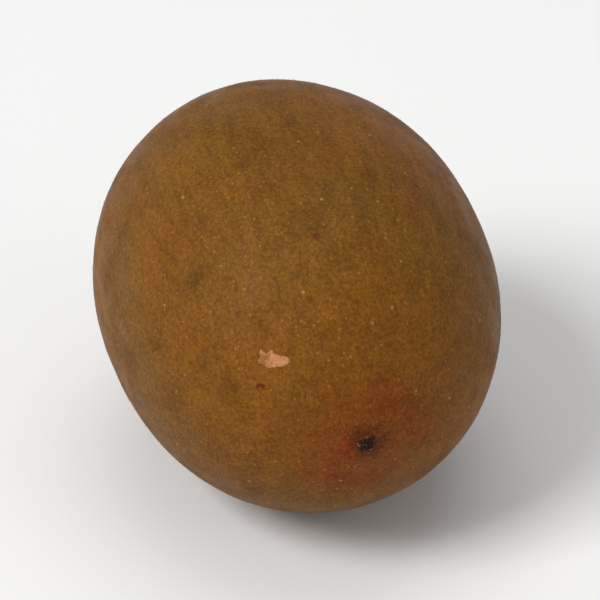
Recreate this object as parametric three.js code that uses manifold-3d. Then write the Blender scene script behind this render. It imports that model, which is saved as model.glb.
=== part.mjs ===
// A whole golden kiwifruit, lying on its side on a small flat spot.
// Millimetres, +Z up. The long axis runs along X, with the stalk end at -X and the blossom end at +X.

import * as THREE from "three";
import { mergeVertices } from "three/addons/utils/BufferGeometryUtils.js";
import Module from "manifold-3d";

// The body.
const bodyLength = 67.8; // from end to end along the axis, without the nub
const bodyWidth = 54.4;
const bodyHeight = 53.2; // before the flat spot is cut
const outlinePower = 2.2; // the side outline is a superellipse, and 2 would be an ellipse
const eggShape = 0.045; // share by which the section is larger at the stalk end and smaller at the other
const lobeCount = 3;
const lobeShare = 0.006; // share by which the section swells at its soft lobes
const lobeTurn = 0.6; // where the first lobe stands, in radians
const flatSpotDepth = 0.35; // height of the slice that is cut off underneath

// The stalk end: distances from the axis, and heights above the skin.
const dipRadius = 6.5;
const dipDepth = 0.7;
const pitRadius = 2.05;
const pitFloorRadius = 0.7;
const pitDepth = 1.1;
const rimRadius = 2.3;
const rimWidth = 0.45;
const rimHeight = 0.35;
const corkInner = 3.5;
const corkOuter = 6.7;
const corkCount = 64;
const corkSize = 0.68; // spread of one bump
const corkLowest = 0.18;
const corkHighest = 0.45;
const ridgeRadius = 7.5;
const ridgeWidth = 0.5;
const ridgeHeight = 0.16;
const reliefFadeStart = 8.0; // the relief dies away between these two radii
const reliefFadeEnd = 14.0;

// The blossom end.
const shoulderRadius = 5.2;
const shoulderHeight = 0.55; // the skin rises this much towards the nub
const nubRadius = 1.2;
const nubHeight = 1.0;
const nubSink = 0.3; // how deep the middle of the nub's dome sits in the skin
const styleCount = 24;
const styleRadius = 0.3;
const styleTipRadius = 0.165;
const styleShortest = 0.85;
const styleLongest = 1.45;
const styleRing = 0.75; // the outermost root's distance from the axis
const styleLean = 0.55; // radians that the outermost stub leans outwards

// How finely the surface is divided.
const turnSteps = 76;
const bodySteps = 30;
const endStep = 0.42; // distance between rings where the ends carry detail
const stalkDetailRadius = 8.4;
const blossomDetailRadius = 3.2;
const domeTurnSteps = 20;
const domeHeightSteps = 12;
const styleSides = 4;
const mergeDistance = 1e-4;

// Repeats: spread evenly round an axis by the golden turn, then strayed by seeded draws.
const goldenTurn = Math.PI * (3 - Math.sqrt(5));
const corkSeed = 41;
const corkStray = 0.25; // radians to either side
const styleSeed = 7;
const styleStray = 0.2;
const drawFactor = 1664525; // of the linear congruential rule that makes the draws
const drawStep = 1013904223;
const drawRange = 2 ** 32;

const { lerp } = THREE.MathUtils;
const wasm = await Module();
wasm.setup();

// A repeatable stream of numbers from 0 to 1.
function seededDraws(seed) {
  let state = seed;
  return () => {
    state = (state * drawFactor + drawStep) % drawRange;
    return state / drawRange;
  };
}

// A turn about an axis for repeat number i.
function strayedTurn(i, stray, draw) {
  return i * goldenTurn + stray * (2 * draw() - 1);
}

// A smooth hump, 1 at the middle, that dies away over the given width.
function hump(distance, width) {
  return Math.exp(-((distance / width) ** 2));
}

// The body's radius at a place along the axis, where the place runs from -1 to 1.
function outlineRadius(place) {
  const closing = Math.max(1 - Math.abs(place) ** outlinePower, 0) ** (1 / outlinePower);
  return (bodyWidth / 2) * closing * (1 - eggShape * place);
}

// The place along the axis where the body narrows to the given radius, at the -1 or +1 end.
function placeOfRadius(radius, end) {
  let inner = 0;
  let outer = 1;
  while (outer - inner > Number.EPSILON) {
    const middle = (inner + outer) / 2;
    if (outlineRadius(end * middle) > radius) inner = middle;
    else outer = middle;
  }
  return end * inner;
}

// Places of the rings from the stalk end to the blossom end: an even step outwards from both ends,
// where the detail is, and an even turn along the body between them.
function ringPlaces() {
  const stalkPlaces = [];
  for (let radius = endStep; radius < stalkDetailRadius; radius += endStep) {
    stalkPlaces.push(placeOfRadius(radius, -1));
  }
  const blossomPlaces = [];
  for (let radius = endStep; radius < blossomDetailRadius; radius += endStep) {
    blossomPlaces.unshift(placeOfRadius(radius, 1));
  }
  const first = Math.acos(-placeOfRadius(stalkDetailRadius, -1));
  const last = Math.acos(-placeOfRadius(blossomDetailRadius, 1));
  const bodyPlaces = [];
  for (let i = 0; i <= bodySteps; i += 1) {
    bodyPlaces.push(-Math.cos(lerp(first, last, i / bodySteps)));
  }
  return [...stalkPlaces, ...bodyPlaces, ...blossomPlaces];
}

// Where the corky bumps sit round the stalk's pit, and how tall each one is.
function corkBumps() {
  const draw = seededDraws(corkSeed);
  const bumps = [];
  for (let i = 0; i < corkCount; i += 1) {
    const radius = lerp(corkInner, corkOuter, Math.sqrt((i + draw()) / corkCount));
    const turn = strayedTurn(i, corkStray, draw);
    const height = lerp(corkLowest, corkHighest, draw());
    bumps.push({ y: radius * Math.cos(turn), z: radius * Math.sin(turn), height });
  }
  return bumps;
}

// How far the skin stands out along the axis at the stalk end: the dip, the pit with its rim, the
// corky bumps and the faint ridge round them.
function stalkRelief(y, z, bumps) {
  const radius = Math.hypot(y, z);
  const dip = dipDepth * hump(radius, dipRadius);
  const pit = pitDepth * (1 - THREE.MathUtils.smoothstep(radius, pitFloorRadius, pitRadius));
  const rim = rimHeight * hump(radius - rimRadius, rimWidth);
  const ridge = ridgeHeight * hump(radius - ridgeRadius, ridgeWidth);
  const cork = bumps.map((bump) => bump.height * hump(Math.hypot(y - bump.y, z - bump.z), corkSize));
  const fade = 1 - THREE.MathUtils.smoothstep(radius, reliefFadeStart, reliefFadeEnd);
  return fade * (rim + ridge + Math.max(...cork) - pit - dip);
}

// The skin-covered body as a lathed outline, made oval and given its lobes and relief.
function bodyGeometry() {
  const rings = ringPlaces().map(
    (place) => new THREE.Vector2(outlineRadius(place), (place * bodyLength) / 2),
  );
  const stalkTip = new THREE.Vector2(0, -bodyLength / 2);
  const blossomTip = new THREE.Vector2(0, bodyLength / 2);
  const geometry = new THREE.LatheGeometry([stalkTip, ...rings, blossomTip], turnSteps);
  geometry.rotateZ(-Math.PI / 2);
  const bumps = corkBumps();
  const position = geometry.getAttribute("position");
  for (let i = 0; i < position.count; i += 1) {
    const x = position.getX(i);
    const turn = Math.atan2(position.getZ(i), position.getY(i));
    const lobes = 1 + lobeShare * Math.cos(lobeCount * turn + lobeTurn);
    const y = position.getY(i) * lobes;
    const z = position.getZ(i) * lobes * (bodyHeight / bodyWidth);
    const shoulder = shoulderHeight * hump(Math.hypot(y, z), shoulderRadius);
    position.setXYZ(i, x < 0 ? x - stalkRelief(y, z, bumps) : x + shoulder, y, z);
  }
  return geometry;
}

// A short dried style: a tapered stub whose root is sunk in the nub. The share is 0 for a stub on
// the axis and 1 for the outermost ones, which lean the most.
function styleGeometry(share, turn, length) {
  const geometry = new THREE.CylinderGeometry(styleTipRadius, styleRadius, length, styleSides);
  geometry.translate(0, length / 2, 0);
  geometry.rotateZ(-Math.PI / 2 + styleLean * share);
  geometry.translate(0, styleRing * share, 0);
  geometry.rotateX(turn);
  return geometry;
}

// The nub at the blossom end: a low dome with the stubs of the styles on it.
function nubGeometries() {
  const dome = new THREE.SphereGeometry(nubRadius, domeTurnSteps, domeHeightSteps);
  dome.scale(nubHeight / nubRadius, 1, 1);
  const draw = seededDraws(styleSeed);
  const stubs = [];
  for (let i = 0; i < styleCount; i += 1) {
    const share = Math.sqrt((i + 0.5) / styleCount);
    const turn = strayedTurn(i, styleStray, draw);
    stubs.push(styleGeometry(share, turn, lerp(styleShortest, styleLongest, draw())));
  }
  return [dome, ...stubs];
}

// A closed geometry as a solid that can be joined and cut.
function toSolid(geometry) {
  const bare = geometry.clone();
  bare.deleteAttribute("normal");
  bare.deleteAttribute("uv");
  const merged = mergeVertices(bare, mergeDistance);
  return new wasm.Manifold(
    new wasm.Mesh({
      numProp: 3,
      vertProperties: merged.getAttribute("position").array,
      triVerts: new Uint32Array(merged.index.array),
    }),
  );
}

// A solid's surface as a geometry.
function toGeometry(solid) {
  const mesh = solid.getMesh();
  const geometry = new THREE.BufferGeometry();
  geometry.setAttribute("position", new THREE.BufferAttribute(mesh.vertProperties, 3));
  geometry.setIndex(new THREE.BufferAttribute(mesh.triVerts, 1));
  geometry.computeVertexNormals();
  return geometry;
}

// The whole fruit in one piece, standing on its flat spot with its middle over the origin.
function fruitGeometry() {
  let solid = toSolid(bodyGeometry());
  for (const geometry of nubGeometries()) {
    geometry.translate(bodyLength / 2 + shoulderHeight - nubSink, 0, 0);
    solid = solid.add(toSolid(geometry));
  }
  const slice = new THREE.BoxGeometry(bodyLength, bodyWidth, bodyHeight);
  slice.translate(0, 0, flatSpotDepth - bodyHeight);
  const geometry = toGeometry(solid.subtract(toSolid(slice)));
  geometry.computeBoundingBox();
  const { min, max } = geometry.boundingBox;
  geometry.translate(-(min.x + max.x) / 2, -(min.y + max.y) / 2, -min.z);
  return geometry;
}

const skin = new THREE.MeshStandardMaterial({ color: 0x8f6433, roughness: 0.62, metalness: 0 });

const fruit = new THREE.Mesh(fruitGeometry(), skin);
fruit.name = "kiwifruit";

const kiwi = new THREE.Group();
kiwi.add(fruit);

export default kiwi;
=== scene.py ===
import random
from math import acos, atan2, copysign, cos, degrees, exp, hypot, log1p, pi, radians, sin, sqrt

import bpy
from mathutils import Matrix, Vector, bvhtree, kdtree, noise


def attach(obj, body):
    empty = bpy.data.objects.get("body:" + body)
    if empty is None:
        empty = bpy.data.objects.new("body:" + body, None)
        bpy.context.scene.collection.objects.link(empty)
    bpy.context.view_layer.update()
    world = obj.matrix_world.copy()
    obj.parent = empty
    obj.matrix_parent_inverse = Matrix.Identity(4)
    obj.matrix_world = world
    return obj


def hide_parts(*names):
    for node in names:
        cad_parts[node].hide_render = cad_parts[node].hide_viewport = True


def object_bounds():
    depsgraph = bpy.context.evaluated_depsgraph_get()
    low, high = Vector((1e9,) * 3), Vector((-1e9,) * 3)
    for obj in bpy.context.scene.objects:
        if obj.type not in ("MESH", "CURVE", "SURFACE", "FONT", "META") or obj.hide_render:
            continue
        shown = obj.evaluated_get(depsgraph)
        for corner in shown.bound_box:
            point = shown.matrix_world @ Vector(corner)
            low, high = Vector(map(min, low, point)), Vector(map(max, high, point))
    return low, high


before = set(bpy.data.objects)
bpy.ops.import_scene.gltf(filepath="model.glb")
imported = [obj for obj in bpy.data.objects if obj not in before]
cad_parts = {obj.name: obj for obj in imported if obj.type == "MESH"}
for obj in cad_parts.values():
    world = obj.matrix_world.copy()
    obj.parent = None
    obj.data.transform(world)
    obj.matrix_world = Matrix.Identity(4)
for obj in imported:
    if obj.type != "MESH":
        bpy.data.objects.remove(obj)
cadLow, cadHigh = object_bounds()
print("frame loaded")

mm = 0.001
fullTurn = 2 * pi
goldenTurn = pi * (3 - sqrt(5))
noise.seed_set(8)  # otherwise noise_vector starts from the clock

# the fruit's body, with the same formula and sizes as its CAD solid
body = {
    "length": 67.8 * mm,
    "width": 54.4 * mm,
    "height": 53.2 * mm,
    "outlinePower": 2.2,  # 2 would be an ellipse
    "eggShape": 0.045,  # fuller at the stalk end
    "lobes": 3,
    "lobeShare": 0.006,
    "lobeTurn": 0.6,
    "turnSteps": 300,
    "bodyRings": 168,
    "endStep": 0.12 * mm,  # between rings at both ends
    "broadSize": 19 * mm,  # soft unevenness
    "broadHeight": 0.2 * mm,
    "fineSize": 3.5 * mm,
    "fineHeight": 0.06 * mm,
    "fineShift": Vector((7, 3, 5)),  # so that the two don't match
    "pressDepth": 0.12 * mm,  # softness of the flat spot's edge
}

# the end where the stalk broke off, as distances from the axis
stalkEnd = {
    "dipRadius": 6.5 * mm,
    "dipDepth": 0.7 * mm,
    "pitRadius": 2.05 * mm,
    "pitFloorRadius": 0.7 * mm,
    "pitDepth": 1.1 * mm,
    "pitStray": 0.05,
    "rims": (  # a rim and a faint ridge: radius, width, height and unevenness
        (2.3 * mm, 0.3 * mm, 0.32 * mm, 0.5),
        (7.5 * mm, 0.5 * mm, 0.16 * mm, 0.8),
    ),
    "strayWaves": 2.1,  # round the axis
    "strayReach": 4 * mm,
    "knots": 13,  # of wood, in a ring round a middle one
    "knotRing": 1.1 * mm,
    "knotSize": 0.34 * mm,
    "middleKnotSize": 0.374 * mm,
    "knotHeight": 0.26 * mm,
    "knotStray": 0.25,
    "knotTwist": 4,
    "knotShare": 0.5,  # of their height without crumbs
    "twistSize": 0.9 * mm,
    "crumbSize": 0.28 * mm,
    "crumbHeight": 0.12 * mm,
    "crumbsEnd": 1.435 * mm,  # they die away from here outwards
    "corkStart": 2.5625 * mm,  # the cork rises from here to corkInner
    "corkInner": 3.5 * mm,
    "corkOuter": 6.7 * mm,
    "corkCount": 64,
    "corkSize": 0.6 * mm,
    "corkReach": 3,  # sizes at which a bump has died away
    "corkHeights": (0.18 * mm, 0.45 * mm),
    "corkStray": 0.25,
    "corkSeed": 41,
    "corkShare": 0.8,  # of the CAD bumps' height
    "corkLowers": (4.2 * mm, 7.5 * mm),  # it gets lower between these
    "outerShare": 0.5,
    "corkEnds": (6.164 * mm, 8.625 * mm),
    "endStray": 1.1 * mm,
    "endStraySize": 2.6 * mm,
    "plateSize": 0.85 * mm,  # plates of cork, parted by cracks
    "plateHeight": 0.2 * mm,
    "plateUneven": 0.4,
    "plateBend": 1.1 * mm,
    "crackShare": 0.22,
    "grainSize": 0.45 * mm,
    "grainHeight": 0.12 * mm,
    "fullCrust": 0.5 * mm,  # height of the palest cork
    "roughTurns": (195, 275),  # degrees from +Y towards +Z where the cork is roughest
    "roughSpread": 45,
    "calm": 0.45,  # share that is left between them
    "fade": (8 * mm, 14 * mm),
    "detailRadius": 8.8 * mm,
}

# the end where the flower was
blossomEnd = {
    "shoulderRadius": 5.2 * mm,
    "shoulderHeight": 0.55 * mm,
    "nubRadius": 1.2 * mm,
    "nubHeight": 0.595 * mm,
    "nubRough": 0.35 * mm,
    "nubGrain": 0.45 * mm,
    "wrinkleCount": 19,
    "wrinkleHeight": 0.045 * mm,
    "wrinkleRise": (1.04 * mm, 2.08 * mm),  # they start between these
    "wrinkleFall": (2.1 * mm, 6 * mm),  # and die away between these
    "wrinkleBend": 2.2,
    "bendSize": 2.4 * mm,
    "breakSize": 1.6 * mm,
    "breakMiddle": 0.6,  # height that the breaks stray from
    "detailRadius": 6.6 * mm,
}


def smoothStep(low, high, value):
    share = min(max((value - low) / (high - low), 0), 1)
    return share * share * (3 - 2 * share)


def mixed(low, high, share):
    return low + (high - low) * share


def hump(distance, width):
    return exp(-((distance / width) ** 2))


def turnHump(turn, middle, width):
    # a hump over a turn in radians, with its middle and width in degrees
    return hump((degrees(turn) - middle + 180) % 360 - 180, width)


def nearTurns(turn, middles, width):
    return max(turnHump(turn, middle, width) for middle in middles)


def ringNoise(turn, other, waves):
    # a noise that meets itself after a full turn
    return noise.noise(Vector((cos(turn), sin(turn), other)) * waves)


def awayFromAxis(turn):
    return Vector((0, cos(turn), sin(turn)))


def crumbs(point, size):
    # a rough noise from 0 to about 1
    octaves = 3
    return noise.turbulence(point / size, octaves, True)


def crackedPlates(point, size, bendSize, crackShare):
    # 1 on a plate and 0 in the cracks, and the plate's own number from -1 to 1
    bendShare, cellWaves = 0.5, 5.7
    bent = point / size + noise.noise_vector(point / bendSize) * bendShare
    distances, centres = noise.voronoi(bent)
    return smoothStep(0, crackShare, distances[1] - distances[0]), noise.cell(centres[0] * cellWaves)


def seededDraws(seed):
    # the CAD solid's own rule, so that the bumps are where it has them
    factor, step, size = 1664525, 1013904223, 2**32
    state = seed
    while True:
        state = (state * factor + step) % size
        yield state / size


def outlineRadius(place):
    closing = max(1 - abs(place) ** body["outlinePower"], 0) ** (1 / body["outlinePower"])
    return body["width"] / 2 * closing * (1 - body["eggShape"] * place)


def placeOfRadius(radius, end):
    inner, outer = 0, 1
    for _ in range(50):  # halvings, until the two meet
        middle = (inner + outer) / 2
        if outlineRadius(end * middle) > radius:
            inner = middle
        else:
            outer = middle
    return end * inner


def ringPlaces():
    # even steps outwards from both ends, and even turns between them
    def fromEnd(look, end):
        count = int(look["detailRadius"] / body["endStep"])
        return [placeOfRadius(body["endStep"] * (i + 1), end) for i in range(count)]

    stalk, blossom = fromEnd(stalkEnd, -1), fromEnd(blossomEnd, 1)
    first, last, count = acos(-stalk[-1]), acos(-blossom[-1]), body["bodyRings"]
    between = [-cos(mixed(first, last, (i + 1) / (count + 1))) for i in range(count)]
    return stalk + between + blossom[::-1]


def skinPoint(place, turn):
    lobes = 1 + body["lobeShare"] * cos(body["lobes"] * turn + body["lobeTurn"])
    radius = outlineRadius(place) * lobes
    flat = body["height"] / body["width"]
    return Vector((place * body["length"] / 2, radius * cos(turn), radius * sin(turn) * flat))


def skinNormal(place, turn):
    power = body["outlinePower"] - 1
    closing = 2 * outlineRadius(place) / body["width"]
    along = copysign(abs(place) ** power, place) / body["length"]
    out = closing**power / body["width"]
    return Vector((along, out * cos(turn), out * sin(turn))).normalized()


def makeCorkTree():
    s = stalkEnd
    draw = seededDraws(s["corkSeed"])
    tree = kdtree.KDTree(s["corkCount"])
    heights = []
    for i in range(s["corkCount"]):
        radius = mixed(s["corkInner"], s["corkOuter"], sqrt((i + next(draw)) / s["corkCount"]))
        turn = i * goldenTurn + s["corkStray"] * (2 * next(draw) - 1)
        heights.append(mixed(*s["corkHeights"], next(draw)))
        tree.insert(awayFromAxis(turn) * radius, i)
    tree.balance()
    return tree, heights


corkTree, corkHeights = makeCorkTree()


def corkRoughness(turn):
    return mixed(stalkEnd["calm"], 1, nearTurns(turn, stalkEnd["roughTurns"], stalkEnd["roughSpread"]))


def corkCrust(point, radius, turn):
    # height of the cork: the CAD solid's bumps with cracked plates on them
    s = stalkEnd
    flat = Vector((0, point.y, point.z))
    zone = smoothStep(s["corkStart"], s["corkInner"], radius)
    zone *= 1 - smoothStep(*s["corkEnds"], radius + s["endStray"] * noise.noise(flat / s["endStraySize"]))
    zone *= mixed(1, s["outerShare"], smoothStep(*s["corkLowers"], radius)) * corkRoughness(turn)
    if zone <= 0:
        return 0
    cork = 0
    for _, i, distance in corkTree.find_range(flat, s["corkReach"] * s["corkSize"]):
        cork = max(cork, corkHeights[i] * hump(distance, s["corkSize"]))
    plate, own = crackedPlates(flat, s["plateSize"], s["plateBend"], s["crackShare"])
    plate *= s["plateHeight"] * (1 - s["plateUneven"] * (1 - own))
    return zone * (s["corkShare"] * cork + plate + s["grainHeight"] * crumbs(point, s["grainSize"]))


def woodyScar(point, radius, turn):
    # height of the wood on the pit's floor
    s = stalkEnd
    if radius > s["pitRadius"]:
        return 0
    bent = noise.noise(point / s["twistSize"])
    knots = 0.5 + 0.5 * cos(s["knots"] * turn + s["knotTwist"] * bent)
    knots *= hump(radius - s["knotRing"] * (1 + s["knotStray"] * bent), s["knotSize"])
    crumb = crumbs(point, s["crumbSize"])
    wood = s["knotHeight"] * (knots + hump(radius, s["middleKnotSize"])) * (s["knotShare"] + crumb)
    return wood + s["crumbHeight"] * crumb * (1 - smoothStep(s["crumbsEnd"], s["pitRadius"], radius))


def stalkRelief(radius, turn):
    s = stalkEnd
    stray = ringNoise(turn, radius / s["strayReach"], s["strayWaves"])
    pit = 1 - smoothStep(s["pitFloorRadius"], s["pitRadius"] * (1 + s["pitStray"] * stray), radius)
    relief = -s["dipDepth"] * hump(radius, s["dipRadius"]) - s["pitDepth"] * pit
    for place, width, height, uneven in s["rims"]:
        relief += height * (1 + uneven * stray) * hump(radius - place, width)
    return relief


def blossomRelief(point, radius, turn):
    b = blossomEnd
    shoulder = b["shoulderHeight"] * hump(radius, b["shoulderRadius"])
    nub = b["nubHeight"] + b["nubRough"] * noise.noise(point / b["nubGrain"])
    nub *= sqrt(max(1 - (radius / b["nubRadius"]) ** 2, 0))
    bend = b["wrinkleBend"] * noise.noise(point / b["bendSize"])
    fold = sin(b["wrinkleCount"] * turn + bend) * (b["breakMiddle"] + noise.noise(point / b["breakSize"]))
    zone = smoothStep(*b["wrinkleRise"], radius) * (1 - smoothStep(*b["wrinkleFall"], radius))
    return shoulder + nub + b["wrinkleHeight"] * fold * zone


def skinSurface(place, turn):
    # the finished point, and how thick cork or wood is there
    point = skinPoint(place, turn)
    lift = body["broadHeight"] * noise.noise(point / body["broadSize"])
    lift += body["fineHeight"] * noise.noise(point / body["fineSize"] + body["fineShift"])
    polar = hypot(point.y, point.z), atan2(point.z, point.y)
    fade = 1 - smoothStep(*stalkEnd["fade"], polar[0])
    crust, relief = 0, 0
    if place > 0:
        relief = blossomRelief(point, *polar)
    elif fade > 0:
        crust = fade * (corkCrust(point, *polar) + woodyScar(point, *polar))
        relief = -fade * stalkRelief(*polar) - crust
    return point + skinNormal(place, turn) * lift + Vector((relief, 0, 0)), crust


def meshOf(name, points, faces, **shares):
    # the shares are a value for each point, which a material reads by name
    mesh = bpy.data.meshes.new(name)
    mesh.from_pydata([tuple(p) for p in points], [], faces)
    mesh.polygons.foreach_set("use_smooth", [True] * len(faces))
    for key, values in shares.items():
        mesh.attributes.new(key, "FLOAT", "POINT").data.foreach_set("value", values)
    return mesh


def makeSkinMesh():
    steps = body["turnSteps"]
    places = ringPlaces()
    surface = [skinSurface(-1, 0)]
    for place in places:
        surface += [skinSurface(place, fullTurn * i / steps) for i in range(steps)]
    surface.append(skinSurface(1, 0))
    points, crusts = zip(*surface)
    faces = []
    for i in range(steps):
        after = (i + 1) % steps
        faces.append((0, 1 + after, 1 + i))
        for ring in range(len(places) - 1):
            low, high = 1 + ring * steps, 1 + (ring + 1) * steps
            faces.append((low + i, low + after, high + after, high + i))
        top = 1 + (len(places) - 1) * steps
        faces.append((top + i, top + after, len(points) - 1))
    return meshOf("fruitSkin", points, faces, crust=[c / stalkEnd["fullCrust"] for c in crusts])


def standInBox(mesh):
    # against the CAD box, with the underside pressed flat on the floor
    xs, ys, zs = zip(*[v.co for v in mesh.vertices])
    shift = Vector((cadLow.x - min(xs), -(min(ys) + max(ys)) / 2, cadHigh.z - max(zs)))
    mesh.transform(Matrix.Translation(shift))
    soft = body["pressDepth"]
    for v in mesh.vertices:
        if v.co.z < 4 * soft:
            v.co.z = soft * log1p(exp(v.co.z / soft))
    return shift


def addObject(name, data):
    item = bpy.data.objects.new(name, data)
    bpy.context.scene.collection.objects.link(item)
    return item


def addPiece(name, mesh, material):
    piece = addObject(name, mesh)
    mesh.materials.append(material)
    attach(piece, "root")
    print(name + ":", len(mesh.polygons), "faces")
    return piece


def rgb(red, green, blue):
    # a screen's values, 0 to 255, as Blender's linear ones
    def linear(value):
        value /= 255
        return value / 12.92 if value <= 0.04045 else ((value + 0.055) / 1.055) ** 2.4

    return (linear(red), linear(green), linear(blue), 1)


def newMaterial(name, look):
    material = bpy.data.materials.new(name)
    material.use_nodes = True
    tree = material.node_tree
    paint(tree, dict(zip(("Specular IOR Level", "Sheen Weight", "Roughness"), look["surface"])))
    return material, tree, addNode(tree, "TexCoord", {}).outputs["Object"]


def feed(tree, socket, value):
    # a socket gets either another node's output or a fixed value
    if isinstance(value, bpy.types.NodeSocket):
        tree.links.new(value, socket)
    else:
        socket.default_value = value


def paint(tree, values):
    for key, value in values.items():
        feed(tree, tree.nodes["Principled BSDF"].inputs[key], value)


def addNode(tree, kind, inputs, **settings):
    node = tree.nodes.new("ShaderNode" + kind)
    for key, value in settings.items():
        setattr(node, key, value)
    for key, value in inputs.items():
        feed(tree, node.inputs[key], value)
    return node


def attribute(tree, name):
    return addNode(tree, "Attribute", {}, attribute_name=name).outputs["Fac"]


def distanceTo(tree, place, point):
    return addNode(tree, "VectorMath", {0: place, 1: point}, operation="DISTANCE").outputs["Value"]


def calc(tree, operation, first, second=0.0):
    return addNode(tree, "Math", {0: first, 1: second}, operation=operation).outputs[0]


def times(tree, first, *others):
    for other in others:
        first = calc(tree, "MULTIPLY", first, other)
    return first


def without(tree, share):
    return calc(tree, "SUBTRACT", 1.0, share)


def fade(tree, value, low, high, first=0.0, last=1.0):
    # from first to last while the value goes from low to high
    inputs = {0: value, 1: low, 2: high, 3: first, 4: last}
    return addNode(tree, "MapRange", inputs, interpolation_type="SMOOTHSTEP").outputs[0]


def strayed(tree, value, pattern, reach):
    # a value moved up and down by clouds, most of which lie between 0.3 and 0.7
    return calc(tree, "ADD", value, fade(tree, pattern, 0.3, 0.7, -reach, reach))


def clouds(tree, place, size, detail=3.0, rough=0.55, bend=0.0):
    inputs = {"Vector": place, "Scale": 1 / size, "Detail": detail, "Roughness": rough, "Distortion": bend}
    return addNode(tree, "TexNoise", inputs).outputs["Fac"]


def dots(tree, place, spacing, radius, missing):
    # soft round dots of uneven strength, a share of them missing
    cells = addNode(tree, "TexVoronoi", {"Vector": place, "Scale": 1 / spacing}).outputs
    full, gone = 0.6, 1.2  # shares of the radius
    edge = full * radius / spacing, gone * radius / spacing
    inside = without(tree, fade(tree, cells["Distance"], *edge))
    return times(tree, inside, fade(tree, cells["Color"], missing, 1.0))


def blend(tree, share, first, second, way="MIX"):
    node = addNode(tree, "Mix", {}, data_type="RGBA", blend_type=way)
    for index, value in ((0, share), (6, first), (7, second)):
        feed(tree, node.inputs[index], value)
    return node.outputs[2]


def shade(tree, colour, factor):
    if not isinstance(factor, bpy.types.NodeSocket):
        factor = (factor, factor, factor, 1)
    return blend(tree, 1.0, colour, factor, "MULTIPLY")


def bump(tree, height, depth, strength, under=None):
    inputs = {"Height": height, "Distance": depth, "Strength": strength}
    if under is not None:
        inputs["Normal"] = under
    return addNode(tree, "Bump", inputs).outputs["Normal"]


# what the skin looks like
skinLook = {
    "golden": rgb(117, 73, 16),
    "olive": rgb(107, 71, 19),
    "rust": rgb(111, 58, 14),
    "deep": rgb(73, 41, 11),
    "nose": rgb(115, 46, 5),
    "noseDark": rgb(66, 28, 8),
    "stalk": rgb(109, 73, 49),
    "cork": rgb(167, 124, 92),
    "corkGap": rgb(62, 42, 26),
    # painted highlight along the faint ridge
    "ridgeHighlight": rgb(154, 118, 82),
    # painted shade for the pit's walls
    "pit": rgb(84, 58, 41),
    "pitFloor": rgb(176, 143, 110),
    "surface": (0.08, 0.02),  # specular and sheen, and in the other pieces roughness
    "roughFade": (0.3, 0.7, 0.47, 0.64),  # over the clouds
    "corkRougher": 0.25,
    # clouds: size, detail, roughness and bend
    "clouds": {
        "patches": (24 * mm, 3, 0.5, 0.3),
        "blush": (15 * mm, 4, 0.55, 0.6),
        "cloudy": (5 * mm, 5, 0.6, 0.2),
        "grain": (0.5 * mm, 4, 0.65),
        "pores": (0.16 * mm, 2, 0.5),
    },
    "streaks": (1.6 * mm, 4, 0.6, 0.3),
    "streakStretch": 7,
    # how far clouds stray the edges of zones
    "edges": {
        "wide": {"blush": 3 * mm, "cloudy": 1.5 * mm},
        "ragged": {"cloudy": 1.3 * mm},
        "fine": {"grain": 0.3 * mm},
        "smooth": {"grain": 0.1 * mm},
    },
    "wornStray": 0.12,  # share of the full crust
    # colours over the whole skin: clouds, from and to which value of them, and the share at both
    "layers": (
        ("olive", "patches", 0.38, 0.62, 0, 1),
        ("rust", "blush", 0.46, 0.74, 0, 0.35),
        ("deep", "cloudy", 0.45, 0.78, 0, 0.35),
    ),
    # the same for single clouds or the cork
    "noseFade": (0.4, 0.6, 0.6, 1),
    "stalkRustFade": (0.45, 0.6, 0, 0.4),
    "corkGapFade": (0.22, 0.04, 0, 0.65),
    "corkFade": (0.45, 0.9, 0, 0.9),
    "pitFloorFade": (0.1, 0.5, 0.17, 0.85),
    # zones: full within one radius, gone at the next, and their strength
    "noseZone": (2 * mm, 14.4 * mm, 0.95),
    "noseDarkZone": (1 * mm, 3 * mm, 0.6),
    "shadeZone": (5 * mm, 15 * mm, 0.5),
    "stalkZone": (5.4 * mm, 8.6 * mm),
    "stalkStrength": 0.85,
    "pitWallShadeZone": (1.6 * mm, 2.2 * mm, 0.9),
    "pitFloorZone": (1.5 * mm, 2 * mm),
    "corkGapStart": (2.9 * mm, 3.8 * mm),
    # painted highlights on the pit's rim and the faint ridge, as bands: colour, where they start, are
    # full, begin to end and are gone, and their clouds
    "highlightBands": (
        ("cork", (1.9 * mm, 2.2 * mm, 2.4 * mm, 2.9 * mm), (0.38, 0.62, 0.15, 0.6)),
        ("ridgeHighlight", (6.9 * mm, 7.5 * mm, 7.5 * mm, 8.1 * mm), (0.4, 0.6, 0, 0.25)),
    ),
    # darker and lighter with the clouds
    "shades": {
        "streaks": (0.3, 0.7, 0.86, 1.12),
        "grain": (0.32, 0.68, 0.74, 1.24),
        "pores": (0.3, 0.7, 0.84, 1.14),
    },
    # dots: spacing, radius, the share that is missing
    "denseDots": (0.56 * mm, 0.15 * mm, 0.15),
    "denseDotShare": 0.6,
    "denseDotLight": 1.75,  # against the ground
    # colour and strength, then the same; none on the cork
    "marks": {
        "paleDots": (rgb(168, 118, 50), 0.6, 1.05 * mm, 0.17 * mm, 0.1),
        "lenticels": (rgb(184, 136, 72), 0.65, 2.7 * mm, 0.26 * mm, 0.2),
        "specks": (rgb(62, 34, 15), 0.6, 1.5 * mm, 0.17 * mm, 0.3),
    },
    # bumps: depth and strength
    "bumps": {
        "grain": (0.06 * mm, 0.7),
        "pores": (0.025 * mm, 0.7),
        "denseDots": (0.03 * mm, 0.6),
        "lenticels": (0.08 * mm, 0.7),
    },
}

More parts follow.
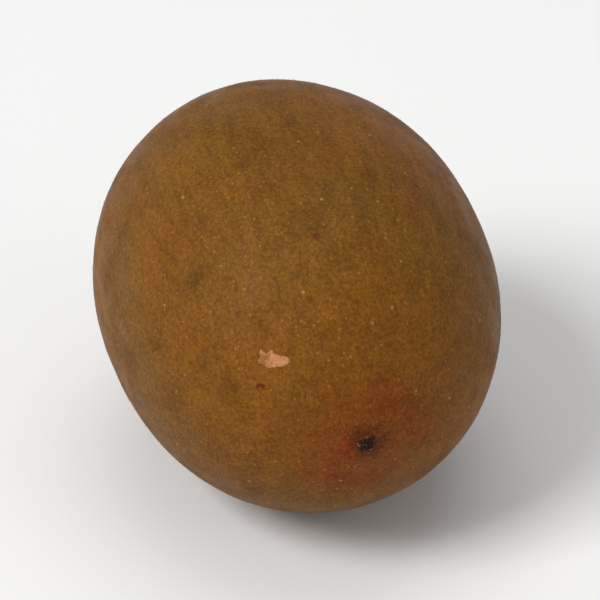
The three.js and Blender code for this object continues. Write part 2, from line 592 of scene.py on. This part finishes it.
# stains, flat on the skin
stains = {
    "colour": rgb(80, 27, 9),
    "ragged": 0.3,  # shares of their size
    "full": 0.2,
    "gone": 1.2,
    "spots": (  # place along the axis, degrees round it, size and strength
        (0.85, 149, 0.5 * mm, 0.85),
        (0.86, 147.3, 0.55 * mm, 0.85),
        (0.55, 96, 0.6 * mm, 0.6),
        (-0.35, 47, 1.3 * mm, 0.45),
        (-0.6, 205, 0.8 * mm, 0.6),
        (0.2, 318, 1.1 * mm, 0.5),
    ),
}


def skinFields(tree, place, axisPlace, look):
    # the clouds, which end is near, and the distance from the axis, strayed in four ways
    field = {name: clouds(tree, place, *values) for name, values in look["clouds"].items()}
    stretch = (1 / look["streakStretch"], 1, 1)
    stretched = addNode(tree, "Mapping", {"Vector": place, "Scale": stretch}).outputs[0]
    field["streaks"] = clouds(tree, stretched, *look["streaks"])
    # crust height with grain: paler where higher, darker where lower, partly wear and partly painted light
    # and shade
    field["worn"] = strayed(tree, attribute(tree, "crust"), field["grain"], look["wornStray"])
    fromAxis = addNode(tree, "VectorMath", {0: place, 1: axisPlace}, operation="SUBTRACT").outputs[0]
    parts = addNode(tree, "SeparateXYZ", {0: fromAxis}).outputs
    field["atStalk"] = calc(tree, "LESS_THAN", parts[0], 0.0)
    field["atBlossom"] = without(tree, field["atStalk"])
    flat = addNode(tree, "CombineXYZ", {1: parts[1], 2: parts[2]}).outputs[0]
    radius = addNode(tree, "VectorMath", {0: flat}, operation="LENGTH").outputs["Value"]
    for name, reaches in look["edges"].items():
        field[name] = radius
        for cloudName, reach in reaches.items():
            field[name] = strayed(tree, field[name], field[cloudName], reach)
    return field


def zone(tree, side, distance, inner, outer, strength=1.0):
    return times(tree, fade(tree, distance, inner, outer, 1.0, 0.0), side, strength)


def groundColour(tree, look, field):
    # patches and clouds, redder towards the nub and darker towards the stalk
    colour = look["golden"]
    for name, cloudName, *values in look["layers"]:
        colour = blend(tree, fade(tree, field[cloudName], *values), colour, look[name])
    nose = zone(tree, field["atBlossom"], field["wide"], *look["noseZone"])
    nose = times(tree, nose, fade(tree, field["cloudy"], *look["noseFade"]))
    colour = blend(tree, nose, colour, look["nose"])
    noseDark = zone(tree, field["atBlossom"], field["ragged"], *look["noseDarkZone"])
    colour = blend(tree, noseDark, colour, look["noseDark"])
    shaded = zone(tree, field["atStalk"], field["wide"], *look["shadeZone"])
    return blend(tree, shaded, colour, look["deep"])


def corkColour(tree, look, field, stalkZone, colour):
    # the ring of cork: dark in its cracks and pale on its raised plates, partly the cork's own colour and
    # partly painted shade in the cracks and painted light on the plates
    fine, worn = field["fine"], field["worn"]
    colour = blend(tree, times(tree, stalkZone, look["stalkStrength"]), colour, look["stalk"])
    reddish = times(tree, stalkZone, fade(tree, field["blush"], *look["stalkRustFade"]))
    colour = blend(tree, reddish, colour, look["rust"])
    gaps = times(tree, stalkZone, fade(tree, fine, *look["corkGapStart"]))
    gaps = times(tree, gaps, fade(tree, worn, *look["corkGapFade"]))
    colour = blend(tree, gaps, colour, look["corkGap"])
    colour = blend(tree, fade(tree, worn, *look["corkFade"]), colour, look["cork"])
    # painted highlights along the raised rim and ridge
    for name, (start, full, ending, gone), values in look["highlightBands"]:
        light = zone(tree, field["atStalk"], fine, ending, gone)
        light = times(tree, light, fade(tree, fine, start, full), fade(tree, field["cloudy"], *values))
        colour = blend(tree, light, colour, look[name])
    return colour


def markedColour(tree, look, place, field, onBody, colour):
    # grain and dots, kept among the fields for the bumps
    for name, values in look["shades"].items():
        colour = shade(tree, colour, fade(tree, field[name], *values))
    field["denseDots"] = dots(tree, place, *look["denseDots"])
    lighter = shade(tree, colour, look["denseDotLight"])
    colour = blend(tree, times(tree, field["denseDots"], look["denseDotShare"]), colour, lighter)
    for name, (ink, strength, *sizes) in look["marks"].items():
        field[name] = dots(tree, place, *sizes)
        colour = blend(tree, times(tree, field[name], onBody, strength), colour, ink)
    return colour


def stainedColour(tree, place, axisPlace, field, colour):
    for along, turn, size, strength in stains["spots"]:
        away = distanceTo(tree, place, skinPoint(along, radians(turn)) + axisPlace)
        away = strayed(tree, away, field["grain"], stains["ragged"] * size)
        share = fade(tree, away, stains["full"] * size, stains["gone"] * size, strength, 0)
        colour = blend(tree, share, colour, stains["colour"])
    return colour


def pitColour(tree, look, field, colour):
    # painted shade darkens the pit's walls, and the wood on the floor is paler where it is higher, partly
    # its own colour and partly painted light
    shadedWalls = zone(tree, field["atStalk"], field["fine"], *look["pitWallShadeZone"])
    light = zone(tree, field["atStalk"], field["smooth"], *look["pitFloorZone"])
    light = times(tree, light, fade(tree, field["worn"], *look["pitFloorFade"]))
    # painted shade on the walls, then the paler wood of the floor
    return blend(tree, light, blend(tree, shadedWalls, colour, look["pit"]), look["pitFloor"])


def makeSkinMaterial(look, axisPlace):
    material, tree, place = newMaterial("kiwiSkin", look)
    field = skinFields(tree, place, axisPlace, look)
    stalkZone = zone(tree, field["atStalk"], field["ragged"], *look["stalkZone"])
    colour = groundColour(tree, look, field)
    colour = corkColour(tree, look, field, stalkZone, colour)
    colour = markedColour(tree, look, place, field, without(tree, stalkZone), colour)
    colour = stainedColour(tree, place, axisPlace, field, colour)
    colour = pitColour(tree, look, field, colour)
    rough = fade(tree, field["cloudy"], *look["roughFade"])
    rough = calc(tree, "ADD", rough, times(tree, stalkZone, look["corkRougher"]))
    normal = None
    for name, values in look["bumps"].items():
        normal = bump(tree, field[name], *values, normal)
    paint(tree, {"Base Color": colour, "Roughness": rough, "Normal": normal})
    return material


skinMesh = makeSkinMesh()
skinShift = standInBox(skinMesh)
fruitSkin = addPiece("fruitSkin", skinMesh, makeSkinMaterial(skinLook, skinShift))
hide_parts("kiwifruit")

skinPoints = [v.co for v in skinMesh.vertices]
skinTree = bvhtree.BVHTree.FromPolygons(skinPoints, [tuple(p.vertices) for p in skinMesh.polygons])
lookFrom = 4 * mm  # off the skin
stalkWay, blossomWay = Vector((-1, 0, 0)), Vector((1, 0, 0))


def onSkin(point, outward):
    # the spot of the skin under a point, and its normal
    spot, normal, _, _ = skinTree.ray_cast(point + outward * lookFrom, -outward)
    return spot, normal


def endSpot(way, turn, radius):
    # the same at one end
    start = skinShift + way * body["length"] / 2 + awayFromAxis(turn) * radius
    return onSkin(start, way)


def tilted(draw, normal, spread):
    return (normal + Vector((0, draw.gauss(0, spread), draw.gauss(0, spread)))).normalized()


def squareTo(way, normal):
    # the way without what points along the normal
    return (way - normal * way.dot(normal)).normalized()


def addClosedPatch(faces, first, steps, rings):
    # faces of a patch whose points are its top, its bottom and then its rings, the lowest last
    for i in range(steps):
        after = (i + 1) % steps
        faces.append((first, first + 2 + i, first + 2 + after))
        for ring in range(rings):
            low, high = first + 2 + ring * steps, first + 2 + (ring + 1) * steps
            faces.append((low + i, high + i, high + after, low + after))
        bottom = first + 2 + rings * steps
        faces.append((bottom + i, first + 1, bottom + after))


# a healed scrape with two points on one side and a dent on the other
scab = {
    "place": 0.84,  # along the axis, as a share of half the length
    "turn": 134,  # degrees round the axis from +Y towards +Z
    "slant": 40,  # degrees from straight round the fruit
    "length": 4.5 * mm,
    "width": 1.75 * mm,
    "height": 0.16 * mm,
    "sink": 0.12 * mm,
    "edgeSink": 0.02 * mm,
    "underShare": 0.94,  # how far out its underside goes
    "middleShift": -0.7 * mm,  # where its points spread from
    "points": (  # degrees from its length, reach, and degrees of width
        (120, 0.95 * mm, 18),
        (68, 0.72 * mm, 21),
        (208, -0.42 * mm, 32),
    ),
    "ragged": 0.16,
    "jags": ((3.5, 0.6), (11, 0.6), (27, 0.3)),  # waves and weight
    "edgeCurl": 0.4,  # share of the height
    "curlPlace": (0.88, 0.1),  # from 0 in the middle to 1 at the edge, and its width
    "plateSize": 0.75 * mm,
    "plateBends": 0.9,  # to a plate
    "crackShare": 0.16,
    "crackHeight": 0.55,  # shares of the height
    "grainHeight": 0.6,
    "grainSize": 0.32 * mm,
    "grainMiddle": 0.4,
    "crackTone": 0.3,
    "edgeTone": (0.8, 1.02),  # between these places its plain tone ends in the darker edge
    "edgeToneStray": 0.15,
    "edgeSteps": 180,
    "rings": 22,
    "ringCrowding": 1.5,  # rings crowd towards the edge
    "seed": 5,
    "pale": rgb(186, 130, 86),
    "warm": rgb(150, 88, 32),
    "dark": rgb(104, 56, 28),
    "rim": rgb(118, 70, 28),
    "warmIn": 1 * mm,  # the brownest spot: in from one end, towards the points, and its reach
    "warmUp": 0.35 * mm,
    "warmRadius": 1.8 * mm,
    "warmLift": (0.2, -0.12),  # added to the blotches in that spot and beyond its reach
    "blotches": (1.6 * mm, 3, 0.6),
    "crumbs": (0.35 * mm, 4, 0.65),
    "warmFade": (0.36, 0.72),
    "darkFade": (0.48, 0.32, 0, 0.35),
    "rimFade": (0.05, 0.6, 0.8, 0),
    "toneStray": (0.35, 0.65, -0.15, 0.15),
    "bump": (0.06 * mm, 0.8),
    "surface": (0.22, 0.05, 0.7),
}


def scabEdge(turn):
    # from the spreading middle to the edge: an oval with points, a dent and a ragged outline
    s = scab
    along, side = 2 * cos(turn) / s["length"], 2 * sin(turn) / s["width"]
    shift = 2 * s["middleShift"] / s["length"]
    steep = along**2 + side**2
    reach = (sqrt((shift * along) ** 2 + steep * (1 - shift**2)) - shift * along) / steep
    for middle, length, width in s["points"]:
        reach += length * turnHump(turn, middle, width)
    jagged = sum(weight * ringNoise(turn, s["seed"], waves) for waves, weight in s["jags"])
    return reach * (1 + s["ragged"] * jagged)


def scabDirections():
    s = scab
    turn = radians(s["turn"])
    out = skinNormal(s["place"], turn)
    aroundFruit = Vector((0, sin(turn), -cos(turn)))
    ahead = aroundFruit.cross(out)
    slant = radians(s["slant"])
    along = aroundFruit * cos(slant) + ahead * sin(slant)
    return skinPoint(s["place"], turn) + skinShift, along, out.cross(along), out


def makeScabMesh():
    s = scab
    centre, along, across, out = scabDirections()
    steps, rings = s["edgeSteps"], s["rings"]
    bendSize = s["plateSize"] / s["plateBends"]

    def spotAt(share, turn):
        reach = scabEdge(turn) * share
        offset = along * (s["middleShift"] + reach * cos(turn)) + across * reach * sin(turn)
        return onSkin(centre + offset, out)

    middle, middleNormal = spotAt(0, 0)
    points = [middle + middleNormal * s["height"], middle - middleNormal * s["sink"]]
    tones = [1, 0]  # 1 on the crust away from its cracks and edge, 0 in its cracks and at its edge, which darken partly as brown crust and partly as painted shade
    for ring in range(1, rings + 1):
        share = 1 - (1 - ring / rings) ** s["ringCrowding"]
        for i in range(steps):
            spot, normal = spotAt(share, fullTurn * i / steps)
            plate, _ = crackedPlates(spot, s["plateSize"], bendSize, s["crackShare"])
            grain = crumbs(spot, s["grainSize"])
            height = mixed(s["crackHeight"], 1, plate) + s["grainHeight"] * (grain - s["grainMiddle"])
            height += s["edgeCurl"] * hump(share - s["curlPlace"][0], s["curlPlace"][1])
            lift = s["height"] * height * sqrt(1 - share**4) - s["edgeSink"] * share
            points.append(spot + normal * lift)
            strayedShare = share + s["edgeToneStray"] * (grain - 0.5)
            awayFromEdge = 1 - smoothStep(*s["edgeTone"], strayedShare)
            tones.append(mixed(s["crackTone"], 1, plate) * awayFromEdge)
    for i in range(steps):
        spot, normal = spotAt(s["underShare"], fullTurn * i / steps)
        points.append(spot - normal * s["sink"])
        tones.append(0)
    faces = []
    addClosedPatch(faces, 0, steps, rings)
    return meshOf("healedScab", points, faces, tone=tones)


def makeScabMaterial():
    s = scab
    material, tree, place = newMaterial("scabCrust", s)
    blotches, crumb = clouds(tree, place, *s["blotches"]), clouds(tree, place, *s["crumbs"])
    centre, along, across, _ = scabDirections()
    warmSpot = centre - along * (s["length"] / 2 - s["warmIn"]) + across * s["warmUp"]
    away = distanceTo(tree, place, warmSpot)
    warmth = calc(tree, "ADD", blotches, fade(tree, away, 0, s["warmRadius"], *s["warmLift"]))
    colour = blend(tree, fade(tree, warmth, *s["warmFade"]), s["pale"], s["warm"])
    colour = blend(tree, fade(tree, crumb, *s["darkFade"]), colour, s["dark"])
    tone = calc(tree, "ADD", attribute(tree, "tone"), fade(tree, crumb, *s["toneStray"]))
    # darker in the cracks and at the edge: partly brown crust, partly painted shade
    colour = blend(tree, fade(tree, tone, *s["rimFade"]), colour, s["rim"])
    paint(tree, {"Base Color": colour, "Normal": bump(tree, crumb, *s["bump"])})
    return material


addPiece("healedScab", makeScabMesh(), makeScabMaterial())

# what every flake and scale shares
peelShape = {
    "rows": 9,
    "columns": 5,
    "noiseWaves": 9,  # to a millimetre
    "tipEnd": 0.04,  # bluntness of both tips
    "edgeThin": 0.5,  # share of the thickness lost at the edges
    "tipStray": 0.25,
}


def addPeel(points, faces, draw, spot, normal, along, length, look):
    # a thin closed scale that bends up at its edges and at one tip
    across = normal.cross(along)
    width, fullThick, curl, lift = (draw.uniform(*look[k]) for k in ("width", "thick", "curl", "lift"))
    width *= length
    start, rows, columns = len(points), peelShape["rows"], peelShape["columns"]
    own = spot / mm * peelShape["noiseWaves"]
    for side in (1, 0):
        for i in range(rows):
            u = -cos(pi * i / (rows - 1))  # closer together near both tips
            ragged = 1 + look["ragged"] * noise.noise(own + Vector((2 * u, 4, 0)))
            reach = width / 2 * sqrt(1 + peelShape["tipEnd"] - abs(u) ** look["blunt"]) * ragged
            for j in range(columns):
                v = 2 * j / (columns - 1) - 1
                thick = side * fullThick * (1 - peelShape["edgeThin"] * max(abs(u), abs(v)) ** 3)
                rise = curl * width * v * v + lift * length * (0.5 + 0.5 * u) ** 2 + thick - look["sink"]
                stray = look["ragged"] * abs(u) * noise.noise(own + Vector((3 * v, 0, 6)))
                forward = (u / 2 + peelShape["tipStray"] * stray) * length
                points.append(spot + along * forward + across * v * reach + normal * rise)
    size = rows * columns
    for i in range(rows - 1):
        for j in range(columns - 1):
            a, b = start + i * columns + j, start + (i + 1) * columns + j
            faces.append((a, b, b + 1, a + 1))
            faces.append((a + size + 1, b + size + 1, b + size, a + size))
    # the rim between the two sides
    low, high = columns - 1, size - columns
    edge = [*range(0, high, columns), *range(high, size - 1)]
    edge += [*range(size - 1, low, -columns), *range(low, 0, -1)]
    for a, b in zip(edge, edge[1:] + edge[:1]):
        faces.append((start + b, start + a, start + a + size, start + b + size))
    return 2 * size


# flakes that peel off the ring of cork, each pair a smallest and a largest
flakes = {
    "count": 440,  # tries, kept most where the cork is rough
    "inner": 3.3 * mm,
    "outer": 7.3 * mm,
    "crowding": 1.2,  # above 1 crowds them inwards
    "turnStray": 0.5,  # radians round the axis
    "facingStray": 50,  # degrees from along the ring
    "length": (0.16 * mm, 0.75 * mm),
    "width": (0.35, 0.75),  # shares of the length
    "thick": (0.0315 * mm, 0.072 * mm),
    "curl": (0, 0.42),
    "lift": (0, 0.39),
    "tilt": 0.25,
    "sink": 0.05 * mm,
    "blunt": 6,  # 2 would give pointed ends
    "ragged": 0.9,
    "brownness": 1.6,  # above 1 makes more of them brown
    "seed": 23,
    "pale": rgb(178, 140, 106),
    "brown": rgb(94, 66, 42),
    "mottle": (0.3 * mm, 3, 0.6),
    "mottleStray": 0.25,
    "grain": (0.15 * mm, 3),
    "bump": (0.03 * mm, 0.7),
    "surface": (0.3, 0.05, 0.75),
}


def makeFlakesMesh():
    f = flakes
    draw = random.Random(f["seed"])
    points, faces, tints = [], [], []
    for i in range(f["count"]):
        share = ((i + draw.random()) / f["count"]) ** f["crowding"]
        radius = sqrt(mixed(f["inner"] ** 2, f["outer"] ** 2, share))
        turn = i * goldenTurn + draw.uniform(-f["turnStray"], f["turnStray"])
        if draw.random() > corkRoughness(turn):
            continue
        spot, normal = endSpot(stalkWay, turn, radius)
        normal = tilted(draw, normal, f["tilt"])
        facing = turn + radians(90 + draw.gauss(0, f["facingStray"]))
        along = squareTo(awayFromAxis(facing), normal)
        length = mixed(*f["length"], draw.random() ** 2)
        added = addPeel(points, faces, draw, spot, normal, along, length, f)
        tints += [draw.random() ** f["brownness"]] * added
    return meshOf("corkFlakes", points, faces, tint=tints)


def makeFlakesMaterial():
    f = flakes
    material, tree, place = newMaterial("dryCork", f)
    mottle = clouds(tree, place, *f["mottle"])
    mottled = strayed(tree, attribute(tree, "tint"), mottle, f["mottleStray"])
    colour = blend(tree, fade(tree, mottled, 0, 1), f["brown"], f["pale"])
    grain = clouds(tree, place, *f["grain"])
    paint(tree, {"Base Color": colour, "Normal": bump(tree, grain, *f["bump"])})
    return material


addPiece("corkFlakes", makeFlakesMesh(), makeFlakesMaterial())

# dried remains of the flower's styles on the nub, over a collar of scales
styles = {
    "sink": 0.3 * mm,
    "cap": {  # the crust over the nub
        "radius": 1.12 * mm,
        "height": 0.2 * mm,  # above the skin's own dome
        "edgeSink": 0.03 * mm,
        "underShare": 0.95,
        "ragged": 0.16,
        "raggedWaves": 2.6,
        "raggedSeed": 4,
        "crinkles": (0.7, 0.9),  # shares of the height, smooth and crinkled
        "crinkleSize": 0.3 * mm,
        "rings": 10,
        "steps": 48,
    },
    "scaleRows": (  # inner and outer
        {"ring": 0.8 * mm, "length": 0.62 * mm, "count": 10, "lift": (0.1, 0.65)},
        {"ring": 1.05 * mm, "length": 0.6 * mm, "count": 14, "lift": (0.05, 0.325)},
    ),
    "scales": {
        "turnStray": 0.35,  # of the gap between two of them
        "ringStray": (0.88, 1.1),  # shares of the row's own
        "lengthStray": (0.6, 1.25),
        "width": (0.385, 0.66),  # shares of the length
        "thick": (0.048 * mm, 0.096 * mm),
        "curl": (-0.1, 0.35),
        "tilt": 0.18,
        "twist": 0.35,
        "sink": 0.04 * mm,
        "blunt": 2,
        "ragged": 0.6,
        "glintTurns": (88, 176),  # degrees, where painted glints make the scales paler
        "glintSpread": 16,
    },
    "stubs": {
        "count": 34,
        "ring": 0.72 * mm,  # radius of the outermost roots
        "turnStray": 0.35,
        "length": (0.15 * mm, 0.6 * mm),
        "ringLength": (1.15, 0.8),  # shares of that in the middle and on the ring
        "thick": (0.09 * mm, 0.19 * mm),
        "uneven": (0.75, 1.25),
        "tip": 0.55,  # share of the root's width
        "lean": (0.225, 1.05),  # radians, on the ring
        "curl": (0.052 * mm, 0.26 * mm),
        "sides": 8,
        "steps": 6,
    },
    "seed": 12,
    "dark": rgb(30, 15, 12),
    "brown": rgb(66, 38, 26),
    "tipAndGlintColour": rgb(124, 90, 78),
    "streaks": (0.22 * mm, 3, 0.6),
    "tipStray": 0.3,
    "brownFade": (0.42, 0.7),
    "tipFade": (0.72, 1.35, 0, 0.9),
    "bump": (0.05 * mm, 0.8),
    "surface": (0.15, 0, 0.62),
}


def addTube(points, faces, path, radii, sides):
    # a closed tube along a path, with a flat cap at each end
    start = len(points)
    for i, centre in enumerate(path):
        ahead = path[min(i + 1, len(path) - 1)] - path[max(i - 1, 0)]
        turned = ahead.to_track_quat("Z", "Y")
        for k in range(sides):
            turn = fullTurn * k / sides
            points.append(centre + turned @ Vector((cos(turn), sin(turn), 0)) * radii[i])
    for i in range(len(path) - 1):
        low, high = start + i * sides, start + (i + 1) * sides
        for k in range(sides):
            after = (k + 1) % sides
            faces.append((low + k, low + after, high + after, high + k))
    faces.append(tuple(start + k for k in reversed(range(sides))))
    faces.append(tuple(start + (len(path) - 1) * sides + k for k in range(sides)))


def addCap(points, faces):
    # a crinkled crust over the nub, closed inside the skin
    cap = styles["cap"]
    steps, rings = cap["steps"], cap["rings"]

    def spotAt(share, turn, sunk=False):
        ragged = 1 + cap["ragged"] * ringNoise(turn, cap["raggedSeed"], cap["raggedWaves"])
        reach = cap["radius"] * share * ragged
        spot, _ = endSpot(blossomWay, turn, reach)
        if sunk:
            return spot - blossomWay * styles["sink"]
        smooth, crinkled = cap["crinkles"]
        crinkle = smooth + crinkled * noise.noise(spot / cap["crinkleSize"])
        lift = cap["height"] * crinkle * sqrt(1 - share**6) - cap["edgeSink"] * share
        return spot + blossomWay * lift

    first = len(points)
    points += [spotAt(0, 0), spotAt(0, 0, True)]
    for ring in range(1, rings + 1):
        points += [spotAt(ring / rings, fullTurn * i / steps) for i in range(steps)]
    points += [spotAt(cap["underShare"], fullTurn * i / steps, True) for i in range(steps)]
    addClosedPatch(faces, first, steps, rings)


def addScales(points, faces, draw):
    # dry scales round the nub, their tips outwards
    glintShares = []
    for row in styles["scaleRows"]:
        s = {**styles["scales"], **row}
        for i in range(s["count"]):
            turn = fullTurn * (i + draw.uniform(-s["turnStray"], s["turnStray"])) / s["count"]
            spot, normal = endSpot(blossomWay, turn, s["ring"] * draw.uniform(*s["ringStray"]))
            normal = tilted(draw, normal, s["tilt"])
            out = awayFromAxis(turn)
            out.rotate(Matrix.Rotation(draw.gauss(0, s["twist"]), 3, "X"))
            along = squareTo(out, normal)
            length = s["length"] * draw.uniform(*s["lengthStray"])
            added = addPeel(points, faces, draw, spot, normal, along, length, s)
            # painted glints: paler scales round the two glint turns
            glintShares += [nearTurns(turn, s["glintTurns"], s["glintSpread"])] * added
    return glintShares


def addStubs(points, faces, draw):
    # crooked stubs, upright in the middle and leaning outwards round it
    s = styles["stubs"]
    for i in range(s["count"]):
        share = sqrt((i + 0.5) / s["count"])
        turn = i * goldenTurn + draw.uniform(-s["turnStray"], s["turnStray"])
        lean = share * draw.uniform(*s["lean"])
        aim = (blossomWay * cos(lean) + awayFromAxis(turn) * sin(lean)).normalized()
        length = draw.uniform(*s["length"]) * mixed(*s["ringLength"], share)
        thick = draw.uniform(*s["thick"])
        root, _ = endSpot(blossomWay, turn, s["ring"] * share)
        root -= aim * styles["sink"]
        side = Vector((draw.uniform(-1, 1), draw.uniform(-1, 1), draw.uniform(-1, 1)))
        side = squareTo(side, aim) * draw.uniform(*s["curl"])
        path, radii = [], []
        for k in range(s["steps"] + 1):
            along = k / s["steps"]
            path.append(root + aim * (length + styles["sink"]) * along + side * along**2)
            radii.append(thick * draw.uniform(*s["uneven"]) * mixed(1, s["tip"], along))
        addTube(points, faces, path, radii, s["sides"])


def makeStylesMesh():
    draw = random.Random(styles["seed"])
    points, faces = [], []
    addCap(points, faces)
    glintShares = [0] * len(points)
    glintShares += addScales(points, faces, draw)
    addStubs(points, faces, draw)
    glintShares += [0] * (len(points) - len(glintShares))
    # how far each point stands out, for the paler tips, and the painted glints on the scales
    tipsAndGlints = []
    for point, pale in zip(points, glintShares):
        spot, _ = onSkin(point, blossomWay)
        tipsAndGlints.append((point.x - spot.x) / max(styles["stubs"]["length"]) + pale)
    return meshOf("driedStyles", points, faces, tip=tipsAndGlints)


def makeStylesMaterial():
    s = styles
    material, tree, place = newMaterial("driedStyle", s)
    streaks = clouds(tree, place, *s["streaks"])
    tip = strayed(tree, attribute(tree, "tip"), streaks, s["tipStray"])
    colour = blend(tree, fade(tree, streaks, *s["brownFade"]), s["dark"], s["brown"])
    # paler tips: partly the dry tips' own colour, partly painted glints
    colour = blend(tree, fade(tree, tip, *s["tipFade"]), colour, s["tipAndGlintColour"])
    paint(tree, {"Base Color": colour, "Normal": bump(tree, streaks, *s["bump"])})
    return material


addPiece("driedStyles", makeStylesMesh(), makeStylesMaterial())

# the short sparse down on the skin
down = {
    "count": 11000,
    "endCount": 2500,  # further hairs close to both ends
    "endReach": 12 * mm,
    "length": (0.2 * mm, 0.62 * mm),
    "thick": 0.014 * mm,  # half the width at the root
    "middleThick": 0.75,  # share of that half way up
    "keel": 1.6,  # how far out the third side stands
    "lift": (0.15, 0.75),  # 0 lies flat, 1 leans halfway up
    "stray": 0.5,  # sideways from lying along the fruit
    "bend": 0.3,
    "sink": 0.03 * mm,
    "bareStalk": 6.6 * mm,  # none on the cork, the nub or by the flat spot
    "bareNub": 1.6 * mm,
    "bareFloor": 1.2 * mm,
    "leastWeight": 0.01,  # of a face's corner
    "seed": 3,
    "colour": rgb(176, 136, 84),
    "shadow": rgb(116, 78, 40),
    "clouds": (3 * mm, 3, 0.6),
    "fade": (0.35, 0.65),
    "surface": (0.3, 0, 0.6),
}


def addHair(points, faces, root, normal, aim, length):
    # a closed three-sided spike that bends back towards the skin
    d = down
    side = normal.cross(aim).normalized()
    bent = (aim - normal * d["bend"]).normalized()
    first = len(points)
    middleThick = d["middleThick"] * d["thick"]
    for centre, thick in ((root, d["thick"]), (root + aim * length / 2, middleThick)):
        keel = normal * thick * d["keel"]
        points.extend([centre + side * thick, centre - side * thick, centre + keel])
    points.append(root + (aim + bent) * length / 2)
    corners = [(0, 1, 2), (1, 0, 3, 4), (2, 1, 4, 5), (0, 2, 5, 3), (4, 3, 6), (5, 4, 6), (3, 5, 6)]
    faces.extend([tuple(first + c for c in corner) for corner in corners])


def offAxis(point):
    return hypot(point.y - skinShift.y, point.z - skinShift.z)


def makeDownMesh():
    d = down
    draw = random.Random(d["seed"])
    areas = [p.area for p in skinMesh.polygons]
    ends = [p.area if offAxis(p.center) < d["endReach"] else 0 for p in skinMesh.polygons]
    chosen = draw.choices(range(len(areas)), weights=areas, k=d["count"])
    chosen += draw.choices(range(len(areas)), weights=ends, k=d["endCount"])
    points, faces = [], []
    for index in chosen:
        face = skinMesh.polygons[index]
        corners = [skinMesh.vertices[v].co for v in face.vertices]
        weights = [draw.random() + d["leastWeight"] for _ in corners]
        root = sum((c * w for c, w in zip(corners, weights)), Vector()) / sum(weights)
        bare = d["bareStalk"] if root.x < 0 else d["bareNub"]
        if root.z < d["bareFloor"] or offAxis(root) < bare:
            continue
        normal = face.normal.copy()
        along = Vector((1, draw.gauss(0, d["stray"]), draw.gauss(0, d["stray"])))
        aim = (squareTo(along, normal) + normal * draw.uniform(*d["lift"])).normalized()
        length = draw.uniform(*d["length"])
        addHair(points, faces, root - normal * d["sink"], normal, aim, length)
    return meshOf("skinDown", points, faces)


def makeDownMaterial():
    material, tree, place = newMaterial("fineDown", down)
    tint = clouds(tree, place, *down["clouds"])
    colour = blend(tree, fade(tree, tint, *down["fade"]), down["shadow"], down["colour"])
    paint(tree, {"Base Color": colour})
    return material


addPiece("skinDown", makeDownMesh(), makeDownMaterial())

# stage, light and camera
shot = {
    "azimuth": 75,
    "elevation": 35,
    "lens": 200,
    "distance": 0.46,
    "aim": Vector((0, 0, 0.0262)),
    "clip": (0.01, 20),
}

studio = {
    "floorSize": 8,
    "floorColour": (0.82, 0.82, 0.815, 1),
    "floorShade": (0.76, 0.76, 0.76, 1),
    "shadeShare": 0.05,
    "clouds": (0.4, 2, 0.5),
    "surface": (0.2, 0, 0.7),
    "worldStrength": 0.36,
    "wallStrength": 0.8,
    "wallFade": (0.1, 0.3),  # heights over the horizon
    "key": {"power": 61, "size": 1.2, "place": (-1.65, -1.05, 2.1)},  # right, away from the camera, up
    "fill": {"power": 6, "size": 1.2, "place": (2.1, -1.2, 1.5)},
    "top": {"power": 20, "size": 2.1, "place": (0.15, 0.75, 2.7)},
}


def makeFloor():
    half = studio["floorSize"] / 2
    corners = [(-half, -half, 0), (half, -half, 0), (half, half, 0), (-half, half, 0)]
    mesh = meshOf("floor", corners, [(0, 1, 2, 3)])
    floor = addObject("floor", mesh)
    material, tree, place = newMaterial("studioFloor", studio)
    share = times(tree, clouds(tree, place, *studio["clouds"]), studio["shadeShare"])
    colour = blend(tree, share, studio["floorColour"], studio["floorShade"])
    paint(tree, {"Base Color": colour})
    mesh.materials.append(material)


def addLight(name, look):
    where = Matrix.Rotation(radians(shot["azimuth"]), 3, "Z") @ Vector(look["place"])
    light = bpy.data.lights.new(name, "AREA")
    light.energy = look["power"]
    light.size = look["size"]
    lamp = addObject(name, light)
    lamp.location = where
    lamp.rotation_euler = (where - shot["aim"]).to_track_quat("Z", "Y").to_euler()


def makeWorld():
    world = bpy.data.worlds.new("studioWorld")
    bpy.context.scene.world = world
    world.use_nodes = True
    tree = world.node_tree
    background = tree.nodes["Background"].inputs
    way = addNode(tree, "TexCoord", {}).outputs["Generated"]
    height = calc(tree, "ABSOLUTE", addNode(tree, "SeparateXYZ", {0: way}).outputs[2])
    # brighter over the floor's far edge, like a pale wall
    strength = fade(tree, height, *studio["wallFade"], studio["wallStrength"], studio["worldStrength"])
    feed(tree, background["Strength"], strength)
    feed(tree, background["Color"], (1, 1, 1, 1))


def makeCamera():
    turn, rise = radians(shot["azimuth"]), radians(shot["elevation"])
    back = Vector((sin(turn) * cos(rise), -cos(turn) * cos(rise), sin(rise)))
    data = bpy.data.cameras.new("camera")
    data.lens = shot["lens"]
    data.clip_start, data.clip_end = shot["clip"]
    camera = addObject("camera", data)
    camera.location = shot["aim"] + back * shot["distance"]
    camera.rotation_euler = back.to_track_quat("Z", "Y").to_euler()
    bpy.context.scene.camera = camera


makeFloor()
for lampName in ("key", "fill", "top"):
    addLight(lampName + "Light", studio[lampName])
makeWorld()
makeCamera()
bpy.context.scene.view_settings.view_transform = "Standard"
print("studio ready")
